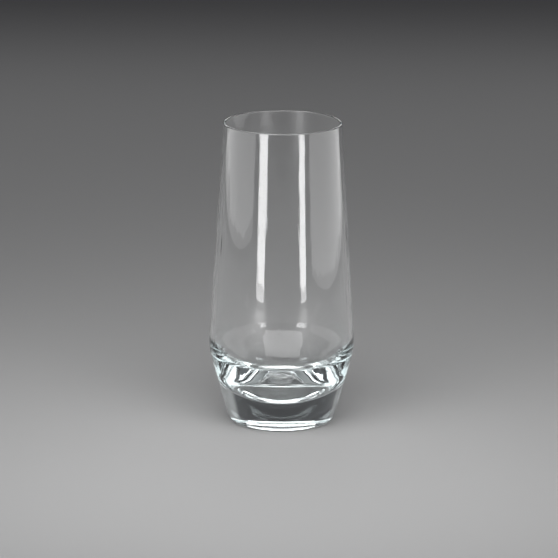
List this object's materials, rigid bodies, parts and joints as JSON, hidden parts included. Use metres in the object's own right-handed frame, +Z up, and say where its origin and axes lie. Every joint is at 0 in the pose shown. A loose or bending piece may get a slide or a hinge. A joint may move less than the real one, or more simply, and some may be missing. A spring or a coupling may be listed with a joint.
{
  "type": "drinking tumbler",
  "caption": "Tall clear stemless glass: the upper wall narrows to the mouth, a soft shoulder, a tapered lower wall and a thick solid foot.",
  "frame": {"origin": "on the glass's axis, in the plane of the ring that it stands on", "axes": "+Z up along the axis, from the foot to the mouth; the glass is round, so +X and +Y may be taken anywhere round it"},
  "size_m": [0.0742, 0.0742, 0.155],
  "materials": {
    "clear_glass": "clear, fire-polished"
  },
  "bodies": {
    "root": {"tumbler": "clear_glass"}
  },
  "joints": []
}
